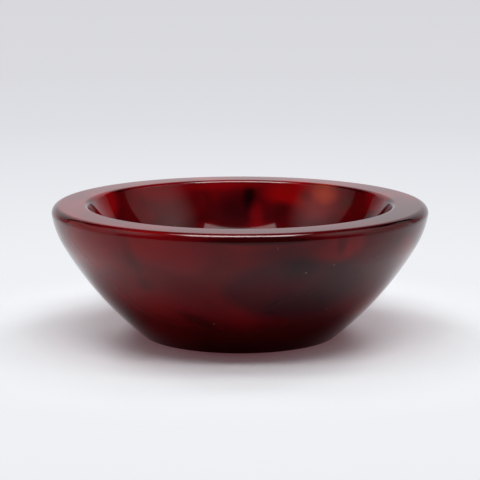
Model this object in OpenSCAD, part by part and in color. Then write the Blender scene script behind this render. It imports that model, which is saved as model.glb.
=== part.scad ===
// Small round bowl: a half coconut shell cased in dark red marbled resin and polished.
// The shell is a hidden core. A lining and a jacket are cast on its two faces, a ring covers
// its cut edge, and a plug in the foot closes the hole by which it was held for casting.
// Every piece is turned about the Z axis. The origin is the middle of the foot, on the table.

/* [Bowl] */
// Outside diameter at the rim
bowl_d = 130; // [100:1:200]
// Height from the table to the top of the rim
bowl_h = 45.5; // [38:0.5:80]
// Diameter of the flat foot, measured to its sharp corner
foot_d = 68; // [50:1:84]
// Thickness of the floor in the middle
floor_t = 10.5; // [9.5:0.5:16]

/* [Rim] */
// Width of the flat rim, from its outer side to the mouth
rim_w = 12.3; // [10:0.1:18]
// Radius of the outer edge of the rim
rim_edge_r = 2.7; // [1:0.1:4]
// Radius of the inner edge of the rim
lip_edge_r = 2; // [0.5:0.1:4]
// Height of the ring that covers the cut edge of the shell
ring_h = 6.5; // [5.5:0.5:10]
// Height by which the shell's edge stands up into the ring
tongue_h = 2; // [1:0.1:3]

/* [Side] */
// Lean of the side just under the rim, in degrees from upright
side_lean = 9.3; // [4:0.1:14]
// Radius of the tight curve under the rim
shoulder_r = 30; // [15:1:45]
// Radius of the long curve from there to the foot
side_r = 118; // [80:1:250]
// Radius of the edge of the foot
foot_edge_r = 0.8; // [0.3:0.1:2]

/* [Layers] */
// Thickness of the coconut shell
shell_t = 4; // [2.5:0.1:5]
// Thickness of the resin lining inside the shell
lining_t = 3; // [2:0.1:4]
// Thickness of the glue between a piece and the shell
glue_t = 0.15; // [0.05:0.05:0.3]

/* [Base plug] */
// Diameter of the plug in the foot
plug_d = 40; // [20:1:46]
// Room between the plug and its bore, on each side
plug_clearance = 0.1; // [0.05:0.05:0.3]

/* [Hidden] */
$fn = 180;

resin_red = "#4a0a10";
lining_red = "#5c0c12";
rim_red = "#6b2a2d";
shell_brown = "#5b3a24";

// Every circle below is given by its centre, as [distance from the axis, height].

// The hollow is part of a ball: its radius comes from the mouth and from the depth.
bowl_r = bowl_d / 2;
mouth_r = bowl_r - rim_w;
depth = bowl_h - floor_t;
hollow_r = (mouth_r ^ 2 + depth ^ 2) / (2 * depth);
ball_c = [0, floor_t + hollow_r];

// The layers round the hollow, each a ball about the same centre.
lining_r = hollow_r + lining_t;
shell_in_r = lining_r + glue_t;
shell_out_r = shell_in_r + shell_t;
jacket_in_r = shell_out_r + glue_t;

// The ring sits on the lining and the jacket at this height, and the shell's edge stands above it.
seat_z = bowl_h - ring_h;
tongue_z = seat_z + tongue_h;

// Rounded outer edge of the rim, and the shoulder curve that carries on from it.
edge_c = [bowl_r - rim_edge_r, bowl_h - rim_edge_r];
lean_dir = [cos(side_lean), -sin(side_lean)];
shoulder_c = edge_c - (shoulder_r - rim_edge_r) * lean_dir;
edge_end = edge_c + rim_edge_r * lean_dir;

// The long side curve runs on smoothly from the shoulder and ends at the corner of the foot.
foot_corner = [foot_d / 2, 0];
to_foot = foot_corner - shoulder_c;
foot_gap = norm(to_foot);
foot_dir = to_foot / foot_gap;
centre_gap = side_r - shoulder_r;
along = (centre_gap ^ 2 - side_r ^ 2 + foot_gap ^ 2) / (2 * foot_gap);
across = sqrt(centre_gap ^ 2 - along ^ 2);
side_c = shoulder_c + along * foot_dir + across * [foot_dir.y, -foot_dir.x];
shoulder_end = side_c + side_r * (shoulder_c - side_c) / centre_gap;

// Rounded edge of the foot, inside the side curve and touching the table.
foot_drop = side_c.y - foot_edge_r;
foot_edge_c = [side_c.x + sqrt((side_r - foot_edge_r) ^ 2 - foot_drop ^ 2), foot_edge_r];
side_end = side_c + side_r * (foot_edge_c - side_c) / (side_r - foot_edge_r);

// Rounded inner edge of the rim, outside the ball of the hollow and touching the rim's top.
lip_drop = ball_c.y - (bowl_h - lip_edge_r);
lip_c = [sqrt((hollow_r + lip_edge_r) ^ 2 - lip_drop ^ 2), bowl_h - lip_edge_r];
lip_end = ball_c + hollow_r * (lip_c - ball_c) / (hollow_r + lip_edge_r);

// Where one curve runs into the next, they overlap by this height, and by a hair in radius.
lap = 0.5;
weld = 0.0005;

plug_r = plug_d / 2;
bore_r = plug_r + plug_clearance;

// Circle in the half plane that is turned about the axis.
module round_at(centre, r) {
    translate(centre) circle(r);
}

// Level slice of the half plane, from the axis out to w.
module slice(w, low, high) {
    translate([0, low]) square([w, high - low]);
}

// One stretch of the outside: the part of a circle between two heights, filled to the axis.
module stretch(centre, r, low, high) {
    intersection() {
        round_at(centre, r);
        slice(bowl_d, low, high);
    }
    slice(max(centre.x, foot_edge_c.x), low, high);
}

// Half section of the whole bowl as if it were solid, from the foot up to the rim.
// The tight curves lie inside the long one, so each runs a little way on behind its neighbour.
module outside() {
    stretch(foot_edge_c, foot_edge_r + weld, 0, side_end.y + lap);
    stretch(side_c, side_r, side_end.y, shoulder_end.y);
    stretch(shoulder_c, shoulder_r + weld, shoulder_end.y - lap, edge_end.y);
    stretch(edge_c, rim_edge_r + weld, edge_end.y - lap, bowl_h);
}

// Half section of a layer between two balls, cut level at a height.
module layer(inner_r, outer_r, top) {
    difference() {
        intersection() {
            round_at(ball_c, outer_r);
            slice(bowl_d, 0, top);
        }
        round_at(ball_c, inner_r);
    }
}

// The half shell, cut level at the mouth.
module coconut_shell() {
    color(shell_brown)
        rotate_extrude()
            layer(shell_in_r, shell_out_r, tongue_z);
}

// The resin on the inner face of the shell.
module inner_lining() {
    color(lining_red)
        rotate_extrude()
            layer(hollow_r, lining_r, seat_z);
}

// The resin round the outer face of the shell, with the bore for the plug.
module outer_jacket() {
    color(resin_red)
        rotate_extrude()
            difference() {
                intersection() {
                    outside();
                    slice(bowl_d, 0, seat_z);
                }
                round_at(ball_c, jacket_in_r);
                slice(bore_r, 0, ball_c.y);
            }
}

// Corner of the rim's inner edge that the rounding takes away.
module lip_corner() {
    difference() {
        slice(lip_c.x, lip_end.y, bowl_h);
        round_at(lip_c, lip_edge_r + weld);
    }
}

// The ring over the cut edge of the shell, with the groove that takes the edge.
module rim_ring() {
    color(rim_red)
        rotate_extrude()
            difference() {
                intersection() {
                    outside();
                    slice(bowl_d, seat_z, bowl_h);
                }
                round_at(ball_c, hollow_r);
                lip_corner();
                layer(lining_r, jacket_in_r, tongue_z + glue_t);
            }
}

// The plug in the foot, with a cupped top that seats the shell.
module base_disc() {
    color(resin_red)
        rotate_extrude()
            difference() {
                slice(plug_r, 0, ball_c.y);
                round_at(ball_c, jacket_in_r);
            }
}

coconut_shell();
inner_lining();
outer_jacket();
rim_ring();
base_disc();
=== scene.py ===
"""Looks of a small round bowl: a half coconut shell cased in dark red marbled resin and polished."""
from math import atan2, cos, radians, sin, sqrt, tau

import bmesh
import bpy
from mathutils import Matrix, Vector


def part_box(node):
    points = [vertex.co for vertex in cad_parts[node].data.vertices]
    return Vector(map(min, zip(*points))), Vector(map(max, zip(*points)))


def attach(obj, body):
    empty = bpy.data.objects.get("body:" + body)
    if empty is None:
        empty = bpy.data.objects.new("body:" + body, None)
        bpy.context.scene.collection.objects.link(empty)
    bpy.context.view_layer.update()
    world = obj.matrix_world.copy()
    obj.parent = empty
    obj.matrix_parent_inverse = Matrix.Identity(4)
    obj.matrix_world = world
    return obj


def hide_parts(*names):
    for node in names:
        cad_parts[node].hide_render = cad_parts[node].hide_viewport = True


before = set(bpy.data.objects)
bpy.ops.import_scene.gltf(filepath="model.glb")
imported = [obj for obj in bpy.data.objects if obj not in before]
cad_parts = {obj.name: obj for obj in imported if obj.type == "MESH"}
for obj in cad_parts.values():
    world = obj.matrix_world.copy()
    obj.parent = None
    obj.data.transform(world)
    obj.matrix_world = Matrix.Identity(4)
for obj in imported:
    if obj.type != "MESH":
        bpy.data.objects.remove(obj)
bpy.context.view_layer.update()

# Coconut shell: the half shell that the bowl is cast on, sanded bare and cut level at the mouth.
# It is hard brown wood with darker fibre marks, and the resin hides all of it.
mm_in_m = 1000
fibre_gap = 1.2
fibre_length = 9


def linear(code):
    """The linear colour, with alpha, of an sRGB hex code."""
    parts = [int(code[i:i + 2], 16) / 255 for i in (1, 3, 5)]
    return [p / 12.92 if p <= 0.04045 else ((p + 0.055) / 1.055) ** 2.4 for p in parts] + [1]


def add(tree, kind, settings, inputs):
    """Add a node, set its properties, and give each named or numbered input a value or a link."""
    node = tree.nodes.new("ShaderNode" + kind)
    for name, value in settings.items():
        setattr(node, name, value)
    for socket, value in inputs.items():
        if isinstance(value, bpy.types.NodeSocket):
            tree.links.new(value, node.inputs[socket])
        else:
            node.inputs[socket].default_value = value
    return node


def blank_material(name):
    """An empty material with its output node, and Object coordinates turned to millimetres."""
    material = bpy.data.materials.new(name)
    material.use_nodes = True
    tree = material.node_tree
    tree.nodes.clear()
    output = add(tree, "OutputMaterial", {}, {})
    place = add(tree, "TexCoord", {}, {})
    in_mm = add(tree, "VectorMath", {"operation": "SCALE"}, {0: place.outputs["Object"], "Scale": mm_in_m})
    return material, tree, output, in_mm.outputs[0]


# Sanded coconut shell: dull brown wood, with short dark fibre marks that run from the mouth to the eyes.
shell_wood, tree, output, mm = blank_material("sanded_coconut_shell")
stretched = add(tree, "Mapping", {}, {
    "Vector": mm, "Scale": (1 / fibre_gap, 1 / fibre_gap, 1 / fibre_length)})
fibres = add(tree, "TexNoise", {}, {"Vector": stretched.outputs[0], "Scale": 1, "Detail": 4})
browns = add(tree, "ValToRGB", {}, {"Fac": fibres.outputs[0]})
browns.color_ramp.elements[0].position = 0.38
browns.color_ramp.elements[0].color = linear("#2e1b10")
browns.color_ramp.elements[1].position = 0.62
browns.color_ramp.elements[1].color = linear("#6b4629")
fibre_relief = add(tree, "Bump", {}, {"Height": fibres.outputs[0], "Strength": 0.3, "Distance": 0.0002})
wood = add(tree, "BsdfPrincipled", {}, {
    "Base Color": browns.outputs[0], "Roughness": 0.6, "Normal": fibre_relief.outputs[0]})
tree.links.new(wood.outputs[0], output.inputs["Surface"])

shell_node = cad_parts["coconut_shell"]
shell_node.data.materials.clear()
shell_node.data.materials.append(shell_wood)

# Inner lining: the resin on the inner face of the shell, which food touches.
# It is cast in the shell as a thin layer, turned to part of a ball and polished.
bowl_r = min(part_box("rim_ring")[1].xy) * mm_in_m
bowl_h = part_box("rim_ring")[1].z * mm_in_m
seat_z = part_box("inner_lining")[1].z * mm_in_m
floor_t = 10.5
rim_w = 12.3
lining_t = 3

# The hollow is part of a ball: its radius comes from the mouth and from the depth.
depth = bowl_h - floor_t
hollow_r = ((bowl_r - rim_w) ** 2 + depth ** 2) / (2 * depth)
hollow_centre = (0, floor_t + hollow_r)
lining_r = hollow_r + lining_t

# Half sections are drawn in millimetres, as (distance from the axis, height).
round_steps = 256
arc_step = radians(1.5)
least_arc_steps = 4
merge_gap = 1e-4
sharp_angle = radians(30)


def turned(name, start, *strokes):
    """A piece turned round the Z axis from a half section that is drawn stroke by stroke.

    A stroke is its end and the centre of its arc, or None where it is straight.
    """
    bm = bmesh.new()
    first = pen = bm.verts.new((start[0], 0, start[1]))
    for end, centre in strokes:
        if end == start:
            bm.edges.new((pen, first))
        elif centre is None:
            tip = bm.verts.new((end[0], 0, end[1]))
            bm.edges.new((pen, tip))
            pen = tip
        else:
            before = Vector((pen.co.x, pen.co.z)) - Vector(centre)
            after = Vector(end) - Vector(centre)
            sweep = atan2(before.cross(after), before.dot(after))
            arc = bmesh.ops.spin(
                bm, geom=[pen], cent=(centre[0], 0, centre[1]), axis=(0, -1, 0),
                angle=sweep, steps=max(least_arc_steps, round(abs(sweep) / arc_step)))
            pen = next(part for part in arc["geom_last"] if isinstance(part, bmesh.types.BMVert))
    bmesh.ops.spin(
        bm, geom=bm.verts[:] + bm.edges[:], cent=(0, 0, 0), axis=(0, 0, 1),
        angle=tau, steps=round_steps, use_merge=True)
    bmesh.ops.remove_doubles(bm, verts=bm.verts, dist=merge_gap)
    bmesh.ops.recalc_face_normals(bm, faces=bm.faces)
    bmesh.ops.scale(bm, verts=bm.verts, vec=(1 / mm_in_m,) * 3)
    mesh = bpy.data.meshes.new(name)
    bm.to_mesh(mesh)
    bm.free()
    mesh.shade_smooth()
    mesh.set_sharp_from_angle(angle=sharp_angle)
    piece = bpy.data.objects.new(name, mesh)
    bpy.context.scene.collection.objects.link(piece)
    return piece


def on_ball(radius, height):
    """The point of a ball round the hollow's centre, at a height below that centre."""
    return sqrt(radius ** 2 - (hollow_centre[1] - height) ** 2), height


# Cast tinted resin, buffed to a deep gloss: clear cherry red clouded with dark, torn sheets of
# pigment, like tortoiseshell. The lining shows brighter and the sheets nearly black, and painted shade
# makes the foot nearly black.
cloud_size = 34
drift_size = 26
drift_reach = 13
torn_size = 13
torn_reach = 3.5
polish_wave = 22
lining_tint_t = 1
rim_tint_start = 0.05
rim_tint_end = 0.4
front_tint_y = -30
back_tint_y = 10
foot_shade_full_z = 6
foot_shade_end_z = 19
edge_shade_band = 2


def clouded(tree, colour, place, marks):
    """The colour with marks laid over it, one by one.

    A mark has a centre, half sizes, a lean about Y in degrees, a colour, a strength and a softness.
    """
    for centre, half, lean, code, strength, softness in marks:
        cloud = add(tree, "Mapping", {"vector_type": "TEXTURE"}, {
            "Vector": place, "Location": centre, "Rotation": (0, radians(lean), 0), "Scale": half})
        spread = add(tree, "TexGradient", {"gradient_type": "SPHERICAL"}, {0: cloud.outputs[0]})
        soft = add(tree, "MapRange", {"interpolation_type": "SMOOTHSTEP"}, {
            "Value": spread.outputs[1], "From Max": softness, "To Max": strength})
        tinted = add(tree, "Mix", {"data_type": "RGBA"}, {0: soft.outputs[0], 6: colour, 7: linear(code)})
        colour = tinted.outputs[2]
    return colour


# Two noises push the pattern about: a wide drift for the clouds, and a finer tear for the marks.
resin, tree, output, mm = blank_material("marbled_resin")
drift = add(tree, "TexNoise", {}, {"Vector": mm, "Scale": 1 / drift_size, "Detail": 2})
shift = add(tree, "VectorMath", {"operation": "SUBTRACT"}, {0: drift.outputs["Color"], 1: (0.5, 0.5, 0.5)})
drifted = add(tree, "VectorMath", {"operation": "MULTIPLY_ADD"}, {
    0: shift.outputs[0], 1: (drift_reach,) * 3, 2: mm})
clouds = add(tree, "TexNoise", {}, {
    "Vector": drifted.outputs[0], "Scale": 1 / cloud_size, "Detail": 4, "Roughness": 0.5,
    "Distortion": 0.6})
torn = add(tree, "TexNoise", {}, {"Vector": mm, "Scale": 1 / torn_size, "Detail": 2})
tear = add(tree, "VectorMath", {"operation": "SUBTRACT"}, {0: torn.outputs["Color"], 1: (0.5, 0.5, 0.5)})
frayed = add(tree, "VectorMath", {"operation": "MULTIPLY_ADD"}, {
    0: tear.outputs[0], 1: (torn_reach,) * 3, 2: mm})

# Each part of the bowl has its own reds, from the thickest of the clouds to the clearest resin.
cloud_levels = (0.36, 0.47, 0.55, 0.68)
reds = {}
for part, codes in [
    ("lining", ("#440407", "#520509", "#60060b", "#78070d")),
    ("front", ("#50060b", "#58060c", "#5e070c", "#68070d")),
    ("back", ("#28050a", "#4a060b", "#62070c", "#7c080e")),
    ("rim_top", ("#5a060b", "#6a070c", "#78080e", "#90090f")),
]:
    ramp = add(tree, "ValToRGB", {}, {"Fac": clouds.outputs[0]})
    ramp.color_ramp.elements.remove(ramp.color_ramp.elements[1])
    ramp.color_ramp.elements[0].color = linear(codes[0])
    for level, code in zip(cloud_levels, codes):
        ramp.color_ramp.elements.new(level).color = linear(code)
    reds[part] = ramp.outputs[0]

# The parts run into each other: front to back, lining to wall, and flat rim to all that lies below it.
from_centre = add(tree, "VectorMath", {"operation": "DISTANCE"}, {0: mm, 1: (0, 0, hollow_centre[1])})
outward = add(tree, "MapRange", {}, {
    "Value": from_centre.outputs["Value"], "From Min": hollow_r + lining_tint_t, "From Max": lining_r})
in_resin = add(tree, "SeparateXYZ", {}, {0: mm})
below_rim = add(tree, "MapRange", {}, {
    "Value": in_resin.outputs["Z"], "From Min": bowl_h - rim_tint_start, "From Max": bowl_h - rim_tint_end})
behind = add(tree, "MapRange", {"interpolation_type": "SMOOTHSTEP"}, {
    "Value": in_resin.outputs["Y"], "From Min": front_tint_y, "From Max": back_tint_y})
wall_reds = add(tree, "Mix", {"data_type": "RGBA"}, {
    0: behind.outputs[0], 6: reds["front"], 7: reds["back"]})
# Painted shade deep in the hollow, centred low towards its far side.
painted_hollow_shade = [((0, 30, 20), (60, 60, 26), 0, "#3a0508", 0.8, 0.6)]
hollow_reds = clouded(tree, reds["lining"], frayed.outputs[0], painted_hollow_shade)
body_reds = add(tree, "Mix", {"data_type": "RGBA"}, {
    0: outward.outputs[0], 6: hollow_reds, 7: wall_reds.outputs[2]})
all_reds = add(tree, "Mix", {"data_type": "RGBA"}, {
    0: below_rim.outputs[0], 6: reds["rim_top"], 7: body_reds.outputs[2]})

# Painted shade darkens the resin towards the foot, and a painted dark line, standing for a dark
# reflection, runs round the rim's rounded edges just below its top.
painted_foot_shade = add(tree, "MapRange", {"interpolation_type": "SMOOTHSTEP"}, {
    "Value": in_resin.outputs["Z"], "From Min": foot_shade_full_z, "From Max": foot_shade_end_z,
    "To Min": 0.85, "To Max": 0})
foot_shaded = add(tree, "Mix", {"data_type": "RGBA"}, {
    0: painted_foot_shade.outputs[0], 6: all_reds.outputs[2], 7: linear("#300506")})
# The painted dark line: a dark ring in the band below the rim's top, for the dark reflection on its edges.
up_edge = add(tree, "MapRange", {}, {
    "Value": in_resin.outputs["Z"], "From Min": bowl_h - edge_shade_band, "From Max": bowl_h})
painted_edge_shade = add(tree, "ValToRGB", {}, {"Fac": up_edge.outputs[0]})
painted_edge_shade.color_ramp.elements.remove(painted_edge_shade.color_ramp.elements[1])
painted_edge_shade.color_ramp.elements[0].color = (0, 0, 0, 1)
for share_up, dark in [(0.4, 0), (0.65, 0.7), (0.85, 0.7), (0.98, 0)]:
    painted_edge_shade.color_ramp.elements.new(share_up).color = (dark, dark, dark, 1)
edge_shaded = add(tree, "Mix", {"data_type": "RGBA"}, {
    0: painted_edge_shade.outputs[0], 6: foot_shaded.outputs[2], 7: linear("#200304")})

# Sheets and clouds of pigment that catch the eye, with frayed edges: on the front of the wall and rim.
wall_clouds = [
    ((60, -30, 30), (50, 60, 45), 0, "#42060b", 0.85, 0.7),
    ((-49, -39, 37), (16, 22, 13.5), 0, "#7a080d", 0.8, 0.8),
    ((-28.5, -57.5, 40.5), (17, 18, 9), 0, "#78080e", 0.9, 0.8),
    ((-17, -60.5, 38), (11, 14, 9), 0, "#6e080e", 0.8, 0.9),
    ((-54, -33, 37), (9, 14, 11), 0, "#84080f", 0.5, 0.9),
    ((56, -30, 34.5), (9, 14, 10), 0, "#78080f", 0.6, 0.9),
    ((-34.5, -52.5, 35.5), (3.2, 10, 11), -21, "#2e0407", 0.4, 0.9),
    ((-30.6, -49.8, 26), (4.8, 9, 4.4), 0, "#2a0406", 0.45, 0.9),
    ((-31, -44, 19.8), (15, 16, 8), 0, "#66080d", 0.8, 0.8),
    ((33, -48, 29), (18, 18, 11), 0, "#340509", 0.75, 0.7),
    ((14, -58, 33), (24, 22, 16), 0, "#380712", 0.6, 0.9),
    ((14.5, -62.5, 39.5), (15, 12, 8), 0, "#3a060c", 0.7, 0.9),
    ((22, -42, 12), (24, 16, 8), 0, "#2c0407", 0.7, 0.8),
    ((18, -54, 26.5), (28, 24, 13), 0, "#2a060f", 0.6, 0.3),
    ((20, -48, 19.6), (28, 22, 9.4), 0, "#24050d", 0.8, 0.8),
    ((18, -46, 14), (16, 14, 2), -10, "#46060a", 0.5, 0.8),
    ((19, -59.5, 34), (9, 10, 6), 0, "#220408", 0.8, 0.9),
    ((31.8, -55.6, 39), (12, 13, 5.6), 0, "#62070b", 0.9, 0.7),
    ((32.6, -55, 40.8), (2.4, 8, 4.4), 10, "#260305", 0.45, 0.95),
    ((35, -53.4, 38.6), (2.2, 8, 3.4), 0, "#7c0a0e", 0.5, 0.95),
    ((44, -47, 43.6), (10, 9, 3), 0, "#380509", 0.35, 0.9),
    ((37.5, -52, 41), (4, 8, 3.6), 0, "#76090e", 0.5, 0.9),
    ((-14, -47, 14), (11, 12, 3.2), 25, "#220304", 0.6, 0.9),
    ((-25, -29, 5.5), (18, 18, 10), 0, "#5a070b", 0.8, 0.7),
    ((40, -27, 14), (10, 12, 9), 0, "#62070b", 0.75, 0.8),
    ((8, -57, 45.5), (44, 14, 4), 0, "#52060a", 0.8, 0.8),
    ((-2, -50, 15), (16, 14, 3.4), 8, "#56060a", 0.5, 0.8),
]

# The same on the far wall of the hollow and the rim behind it, with an orange cloud on the right.
hollow_clouds = [
    ((-28, 41, 44.3), (24, 14, 6.5), 0, "#7c0812", 0.8, 0.7),
    ((-48, 17, 43), (9, 14, 9), 0, "#940a10", 0.85, 0.6),
    ((49, 17, 44), (8, 13, 7), 0, "#80090f", 0.8, 0.6),
    ((-0.5, 47, 36.5), (13, 12, 10.5), 0, "#2a040a", 0.8, 0.8),
    ((5.8, 45.5, 33), (3.8, 8, 8), 0, "#7a070d", 0.7, 0.8),
    ((18.5, 47, 41.5), (14, 12, 6), 0, "#96070b", 0.9, 0.6),
    ((3, 49.5, 40), (3.4, 9, 6.8), 0, "#0c0203", 0.85, 0.8),
    ((14.5, 45, 34.8), (8, 9, 5), 0, "#300508", 0.6, 0.9),
    ((28, 38.5, 37.5), (12, 10, 7), 0, "#80140f", 0.6, 0.8),
    ((26.5, 42.5, 40.4), (8, 9, 4.5), 0, "#8c2416", 0.4, 0.9),
    ((31, 41, 42.5), (9, 10, 5.5), 12, "#b83c1c", 0.75, 0.95),
    ((24, 44, 40.5), (4.2, 8, 3.4), 0, "#40100c", 0.5, 0.9),
    ((39, 32, 40.6), (4.2, 7, 4.2), 0, "#482016", 0.55, 0.9),
    ((-6, 51, 43.9), (36, 12, 2.6), 0, "#9c0810", 0.65, 1),
    ((-11.5, 42, 29.8), (6, 7, 2.6), 0, "#9e0a16", 0.26, 0.9),
    ((8.2, 42, 29.8), (9, 7, 2.6), 0, "#9e0a16", 0.3, 0.9),
    ((45, 23.5, 41), (7, 9, 8), 0, "#7c080d", 0.3, 0.9),
]

# Sharper marks, all painted light: a painted dark reflection under the rim's front edge, a painted red
# line that tints the highlight on its front edge pink, and painted dark reflections along its edge at
# the left and right.
painted_edge_reflections = [
    ((7, -65, 43.5), (26, 12, 1.7), 0, "#200305", 0.85, 0.5),
    ((-10, -50, 44.9), (46, 24, 0.45), 0, "#940a10", 0.5, 0.5),
    ((52, -34, 44.9), (22, 26, 0.45), 0, "#140203", 0.85, 0.5),
    ((-54, -32, 44.9), (16, 24, 0.45), 0, "#2c0406", 0.5, 0.5),
]

# Four specks of dust, and a short scratch under the rim.
dust_grey = "#a08a88"
dust_and_scratch = [
    ((21, -57.5, 32), (0.4, 2, 0.4), 0, dust_grey, 0.5, 1),
    ((30, -54.6, 34), (0.4, 2, 0.3), 0, dust_grey, 0.4, 1),
    ((28.4, -42.2, 17), (0.3, 2, 0.3), 0, dust_grey, 0.6, 1),
    ((-8.4, -46.7, 13), (0.3, 2, 0.3), 0, dust_grey, 0.6, 1),
    ((11.9, -63.6, 40.9), (0.2, 3, 1), 0, dust_grey, 0.2, 1),
]
marbled = clouded(tree, edge_shaded.outputs[2], frayed.outputs[0], wall_clouds + hollow_clouds)
marked = clouded(tree, marbled, mm, painted_edge_reflections + dust_and_scratch)

# Buffing leaves faint waves. The specular tint keeps the gloss as deep and dark as it looks.
wave = add(tree, "TexNoise", {}, {"Vector": mm, "Scale": 1 / polish_wave, "Detail": 1})
smear = add(tree, "MapRange", {}, {"Value": wave.outputs[0], "To Min": 0.03, "To Max": 0.08})
polish_relief = add(tree, "Bump", {}, {"Height": wave.outputs[0], "Strength": 0.02, "Distance": 0.0002})
gloss = add(tree, "BsdfPrincipled", {}, {
    "Base Color": marked, "Roughness": smear.outputs[0], "Normal": polish_relief.outputs[0],
    "IOR": 1.5, "Specular Tint": linear("#a6a6a6")})
tree.links.new(gloss.outputs[0], output.inputs["Surface"])

lining = turned(
    "resin_lining", (0, floor_t),
    (on_ball(hollow_r, seat_z), hollow_centre),
    (on_ball(lining_r, seat_z), None),
    ((0, hollow_centre[1] - lining_r), hollow_centre))
lining.data.materials.append(resin)
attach(lining, "root")
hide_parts("inner_lining")

# Outer jacket: the resin round the outside of the shell, cast on it and turned to a long curve.
# It stands on a narrow flat foot, with a bore in the foot for the plug.
foot_r = 34
foot_edge_r = 0.8
side_lean = radians(9.3)
rim_edge_r = 2.7
shoulder_r = 30
side_r = 118
shell_t = 4
glue_t = 0.15
plug_r = 20
plug_clearance = 0.1

# Three curves run smoothly into each other: the rim's edge, the shoulder below it and the long side.
edge_centre = Vector((bowl_r - rim_edge_r, bowl_h - rim_edge_r))
lean_way = Vector((cos(side_lean), -sin(side_lean)))
shoulder_centre = edge_centre - (shoulder_r - rim_edge_r) * lean_way
edge_end = edge_centre + rim_edge_r * lean_way

to_foot = Vector((foot_r, 0)) - shoulder_centre
centre_gap = side_r - shoulder_r
along = (centre_gap ** 2 - side_r ** 2 + to_foot.length_squared) / (2 * to_foot.length)
across = sqrt(centre_gap ** 2 - along ** 2)
way = to_foot.normalized()
side_centre = shoulder_centre + along * way + across * Vector((way.y, -way.x))
shoulder_end = side_centre + (shoulder_centre - side_centre) * side_r / centre_gap

# A small rounding ends the side at the foot.
foot_drop = side_centre.y - foot_edge_r
foot_edge_centre = Vector((side_centre.x + sqrt((side_r - foot_edge_r) ** 2 - foot_drop ** 2), foot_edge_r))
side_end = side_centre + (foot_edge_centre - side_centre) * side_r / (side_r - foot_edge_r)

# Inside, the jacket follows the shell, and the bore for the plug comes up to it.
jacket_in_r = lining_r + shell_t + 2 * glue_t
shoulder_seat = (shoulder_centre.x + sqrt(shoulder_r ** 2 - (seat_z - shoulder_centre.y) ** 2), seat_z)
bore_r = plug_r + plug_clearance
bore_top = (bore_r, hollow_centre[1] - sqrt(jacket_in_r ** 2 - bore_r ** 2))

jacket = turned(
    "resin_jacket", (bore_r, 0),
    ((foot_edge_centre.x, 0), None),
    (tuple(side_end), tuple(foot_edge_centre)),
    (tuple(shoulder_end), tuple(side_centre)),
    (shoulder_seat, tuple(shoulder_centre)),
    (on_ball(jacket_in_r, seat_z), None),
    (bore_top, hollow_centre),
    ((bore_r, 0), None))
jacket.data.materials.append(resin)
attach(jacket, "root")
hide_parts("outer_jacket")

# Rim ring: a resin ring bonded over the cut edge of the shell, which stands in a groove under it.
# Its top is ground flat, its two edges are rounded, and it is polished flush with its neighbours.
lip_edge_r = 2
tongue_h = 2
groove_top = seat_z + tongue_h + glue_t
lip_drop = hollow_centre[1] - (bowl_h - lip_edge_r)
lip_centre = (sqrt((hollow_r + lip_edge_r) ** 2 - lip_drop ** 2), bowl_h - lip_edge_r)
lip_end = on_ball(hollow_r, hollow_centre[1] - lip_drop * hollow_r / (hollow_r + lip_edge_r))

rim = turned(
    "resin_rim_ring", shoulder_seat,
    (tuple(edge_end), tuple(shoulder_centre)),
    ((edge_centre.x, bowl_h), tuple(edge_centre)),
    ((lip_centre[0], bowl_h), None),
    (lip_end, lip_centre),
    (on_ball(hollow_r, seat_z), hollow_centre),
    (on_ball(lining_r, seat_z), None),
    (on_ball(lining_r, groove_top), hollow_centre),
    (on_ball(jacket_in_r, groove_top), None),
    (on_ball(jacket_in_r, seat_z), hollow_centre),
    (shoulder_seat, None))
rim.data.materials.append(resin)
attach(rim, "root")
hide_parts("rim_ring")

# Base disc: the resin plug in the foot, bonded in the bore by which the shell was held for casting.
# Its top is cupped to seat the shell, and its underside is level with the foot.
plug = turned(
    "resin_base_plug", (0, 0),
    ((plug_r, 0), None),
    ((plug_r, hollow_centre[1] - sqrt(jacket_in_r ** 2 - plug_r ** 2)), None),
    ((0, hollow_centre[1] - jacket_in_r), hollow_centre))
plug.data.materials.append(resin)
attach(plug, "root")
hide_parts("base_disc")

# Floor and backdrop: one sheet of pale paper that runs back level and then bends up behind the bowl.
# Near the bowl it takes the light and the shadow. Further off it shows a set pale tone, in which the
# fall-off of the light is painted as grey.
# The hung part narrows to its top, so that only the rim and its edge mirror it. Sizes are in metres.
sheet_half = 4
sheet_front = -3
bend_start = 1.9
bend_r = 0.5
bend_steps = 24
sheet_top = 1.9
sheet_top_half = 0.5

bm = bmesh.new()
front_edge = bm.edges.new([bm.verts.new((x, sheet_front, 0)) for x in (-sheet_half, sheet_half)])
laid = bmesh.ops.extrude_edge_only(bm, edges=[front_edge])["geom"]
bmesh.ops.translate(
    bm, verts=[p for p in laid if isinstance(p, bmesh.types.BMVert)], vec=(0, bend_start - sheet_front, 0))
bent = bmesh.ops.spin(
    bm, geom=[p for p in laid if isinstance(p, bmesh.types.BMEdge)], cent=(0, bend_start, bend_r),
    axis=(1, 0, 0), angle=tau / 4, steps=bend_steps)["geom_last"]
hung = bmesh.ops.extrude_edge_only(
    bm, edges=[p for p in bent if isinstance(p, bmesh.types.BMEdge)])["geom"]
top_corners = [p for p in hung if isinstance(p, bmesh.types.BMVert)]
bmesh.ops.translate(bm, verts=top_corners, vec=(0, 0, sheet_top - bend_r))
bmesh.ops.scale(bm, verts=top_corners, vec=(sheet_top_half / sheet_half, 1, 1))
bmesh.ops.recalc_face_normals(bm, faces=bm.faces)
mesh = bpy.data.meshes.new("paper_sheet")
bm.to_mesh(mesh)
bm.free()
mesh.shade_smooth()
sheet = bpy.data.objects.new("paper_sheet", mesh)
bpy.context.scene.collection.objects.link(sheet)

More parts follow.
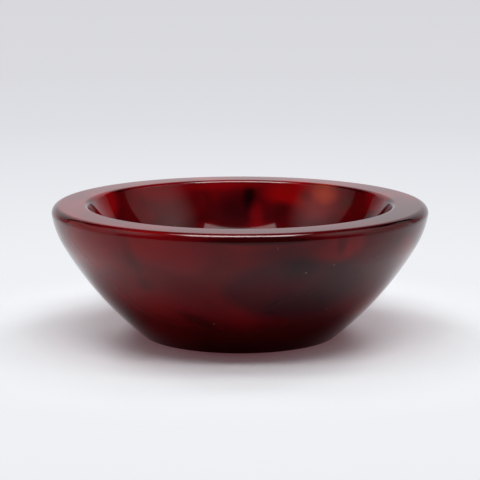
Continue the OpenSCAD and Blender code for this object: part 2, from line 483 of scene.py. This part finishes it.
# Matt white paper, very slightly blue. A painted reddish glow, as of light from the resin, lies on it
# round the foot, and its mirror image in the resin is painted dim there, in front of the foot more than
# beside it. Sizes are in mm.
tone_blend_start = 55
tone_blend_end = 130
tone_reach = 2000
hung_tone_start = 330
hung_tone_end = 500
side_tone_start = 1200
side_tone_end = 2500
red_glow_end = 82
mirror_middle = (-2, 0, 0)
mirror_dim_end = 40
mirror_full_start = 82
beside_per_mm = 1.07
front_dim_end = -77
beside_start = -40

# Its set tone: white near the bowl, and greyer further off, up the hung part and far to the sides, as
# painted shade for the fall-off of the light.
paper, tree, output, mm = blank_material("white_paper")
away = add(tree, "VectorMath", {"operation": "LENGTH"}, {0: mm})
far = add(tree, "MapRange", {"interpolation_type": "SMOOTHSTEP"}, {
    "Value": away.outputs["Value"], "From Min": tone_blend_start, "From Max": tone_blend_end})
distance = add(tree, "MapRange", {}, {"Value": away.outputs["Value"], "From Max": tone_reach})
floor_tone = add(tree, "ValToRGB", {}, {"Fac": distance.outputs[0]})
floor_tone.color_ramp.elements.remove(floor_tone.color_ramp.elements[1])
floor_tone.color_ramp.elements[0].color = linear("#eff1f5")
for share_off, code in [(0.075, "#eff1f5"), (0.31, "#dedfe4"), (0.5, "#dadadf"), (1, "#d8d8dd")]:
    floor_tone.color_ramp.elements.new(share_off).color = linear(code)
on_paper = add(tree, "SeparateXYZ", {}, {0: mm})
height = add(tree, "MapRange", {"interpolation_type": "SMOOTHSTEP"}, {
    "Value": on_paper.outputs["Z"], "From Min": hung_tone_start, "From Max": hung_tone_end})
hung_tone = add(tree, "Mix", {"data_type": "RGBA"}, {
    0: height.outputs[0], 6: floor_tone.outputs[0], 7: linear("#c8c8cc")})
off_middle = add(tree, "Math", {"operation": "ABSOLUTE"}, {0: on_paper.outputs["X"]})
sideways = add(tree, "MapRange", {"interpolation_type": "SMOOTHSTEP"}, {
    "Value": off_middle.outputs[0], "From Min": side_tone_start, "From Max": side_tone_end})
shaded_tone = add(tree, "Mix", {"data_type": "RGBA"}, {
    0: sideways.outputs[0], 6: hung_tone.outputs[2], 7: linear("#7a7a7e")})

# It shows that tone to the eye and to gleams, away from the bowl. Near the bowl it is lit.
path = add(tree, "LightPath", {}, {})
by_eye_or_gleam = add(tree, "Math", {"operation": "MAXIMUM"}, {
    0: path.outputs["Is Camera Ray"], 1: path.outputs["Is Glossy Ray"]})
seen = add(tree, "Math", {"operation": "MAXIMUM"}, {
    0: by_eye_or_gleam.outputs[0], 1: path.outputs["Is Transmission Ray"]})
tone_share = add(tree, "Math", {"operation": "MULTIPLY"}, {0: seen.outputs[0], 1: far.outputs[0]})
# A painted reddish glow on the paper round the foot, fading out away from it.
painted_red_glow = add(tree, "MapRange", {}, {
    "Value": away.outputs["Value"], "From Min": foot_r, "From Max": red_glow_end,
    "To Min": 0.078, "To Max": 0})
lit = add(tree, "BsdfPrincipled", {}, {
    "Base Color": linear("#eeeff2"), "Roughness": 0.5,
    "Emission Color": (1, 0.3, 0.37, 1), "Emission Strength": painted_red_glow.outputs[0]})
even = add(tree, "Emission", {}, {"Color": shaded_tone.outputs[2]})
both = add(tree, "MixShader", {}, {0: tone_share.outputs[0], 1: lit.outputs[0], 2: even.outputs[0]})

# Its mirror image is painted dim: near the foot, and most in front of it. The way back less the way out
# from the axis is lowest in front of the bowl, and rises beside and behind it.
from_foot = add(tree, "VectorMath", {"operation": "DISTANCE"}, {0: mm, 1: mirror_middle})
near_foot = add(tree, "MapRange", {"interpolation_type": "SMOOTHSTEP"}, {
    "Value": from_foot.outputs["Value"], "From Min": mirror_dim_end, "From Max": mirror_full_start,
    "To Min": 1, "To Max": 0})
past_side = add(tree, "Math", {"operation": "MULTIPLY_ADD"}, {
    0: away.outputs["Value"], 1: -beside_per_mm, 2: on_paper.outputs["Y"]})
in_front = add(tree, "MapRange", {"interpolation_type": "SMOOTHSTEP"}, {
    "Value": past_side.outputs[0], "From Min": front_dim_end, "From Max": beside_start,
    "To Min": 0.95, "To Max": 0.05})
front_dim = add(tree, "Math", {"operation": "MULTIPLY"}, {0: near_foot.outputs[0], 1: in_front.outputs[0]})
dimmed = add(tree, "Math", {"operation": "MULTIPLY"}, {
    0: front_dim.outputs[0], 1: path.outputs["Is Glossy Ray"]})
mirrored = add(tree, "MixShader", {}, {0: dimmed.outputs[0], 1: both.outputs[0]})
tree.links.new(mirrored.outputs[0], output.inputs["Surface"])
sheet.data.materials.append(paper)

# Studio light. The softbox above, with its bright core, and the cards at the sides only show as gleams.
# The fills only light. The round softbox on each side does both, and the room is dim.
aim = Vector((0, 0, 0.035))


def softbox(name, shape, place, size, watts, gleams=True, lights=True):
    """An area light at a place, turned to the bowl. It can show as a gleam, light the bowl, or do both."""
    light = bpy.data.lights.new(name, "AREA")
    light.shape = shape
    light.size = size[0]
    light.size_y = size[1]
    light.energy = watts
    lamp = bpy.data.objects.new(name, light)
    lamp.location = place
    lamp.rotation_euler = (aim - Vector(place)).to_track_quat("-Z", "Y").to_euler()
    lamp.visible_glossy = gleams
    lamp.visible_diffuse = lights
    bpy.context.scene.collection.objects.link(lamp)
    return lamp


softbox("top_softbox", "RECTANGLE", (0, -0.04, 1.98), (1.5, 0.88), 22.4, lights=False)
softbox("top_softbox_core", "RECTANGLE", (0, 0, 1.96), (1.2, 0.6), 36, lights=False)
softbox("front_fill", "RECTANGLE", (0, -0.75, 1.9), (1.6, 0.3), 17, gleams=False)
for side in (-1, 1):
    softbox(
        f"low_side_card_{side}", "RECTANGLE", (side * 1.326, 0.253, 0.25), (1.2, 0.5), 0.94, lights=False)
    softbox(
        f"near_side_card_{side}", "RECTANGLE", (side * 0.15, 0.03, 0.107), (0.064, 0.042), 0.0032,
        lights=False)
    softbox(f"side_fill_{side}", "RECTANGLE", (side * 0.75, 0, 1.9), (0.3, 1.2), 6.2, gleams=False)
    softbox(f"back_fill_{side}", "RECTANGLE", (side * 0.9, 0.9, 1.5), (0.6, 0.6), 8.2, gleams=False)

# The round softbox fades away from a hot spot off its middle, gains towards its top, and is dimmer at
# its far end. Places on its cloth run from 0 to 1, with the middle at a half.
middle = 0.5
hot_spot_off = 0.12
hot_spot_y = 0.44
far_end_start = 0.07
far_end_full = 0.37
for side, fade_start, fade_end in [(-1, 0.2, 0.57), (1, 0.25, 0.65)]:
    lamp = softbox(f"side_softbox_{side}", "DISK", (side * 1.244, -0.142, 1.03), (1.63, 1.63), 6.5)
    lamp.data.use_nodes = True
    tree = lamp.data.node_tree
    cloth = add(tree, "NewGeometry", {}, {}).outputs["Parametric"]
    on_cloth = add(tree, "SeparateXYZ", {}, {0: cloth})
    from_hot_spot = add(tree, "VectorMath", {"operation": "DISTANCE"}, {
        0: cloth, 1: (middle + side * hot_spot_off, hot_spot_y, 0)})
    fade = add(tree, "MapRange", {"interpolation_type": "SMOOTHSTEP"}, {
        "Value": from_hot_spot.outputs["Value"], "From Min": fade_start, "From Max": fade_end,
        "To Min": 1, "To Max": 0})
    gain = add(tree, "MapRange", {}, {
        "Value": on_cloth.outputs["Y"], "From Min": 0.3, "From Max": 0.8, "To Min": 0.7, "To Max": 1.8})
    far_end = add(tree, "MapRange", {}, {
        "Value": on_cloth.outputs["X"], "From Min": middle + side * far_end_start,
        "From Max": middle + side * far_end_full, "To Min": 1, "To Max": 0.5})
    faded = add(tree, "Math", {"operation": "MULTIPLY"}, {0: fade.outputs[0], 1: gain.outputs[0]})
    strength = add(tree, "Math", {"operation": "MULTIPLY"}, {0: faded.outputs[0], 1: far_end.outputs[0]})
    tree.links.new(strength.outputs[0], tree.nodes["Emission"].inputs["Strength"])

room = bpy.data.worlds.new("dim_room")
bpy.context.scene.world = room
room.use_nodes = True
room.node_tree.nodes["Background"].inputs["Color"].default_value = linear("#505053")
room.cycles_visibility.glossy = False

# Camera: a long lens, 650 mm in front of the bowl's middle and about 100 mm above its rim, that looks
# down about ten degrees.
camera_tilt = radians(10.18)
camera = bpy.data.objects.new("camera", bpy.data.cameras.new("camera"))
camera.data.sensor_width = 36
camera.data.lens = 142.6
camera.location = (0, -0.65, 0.149)
camera.rotation_euler = (tau / 4 - camera_tilt, 0, 0)
bpy.context.scene.collection.objects.link(camera)
bpy.context.scene.camera = camera
bpy.context.scene.view_settings.view_transform = "Standard"
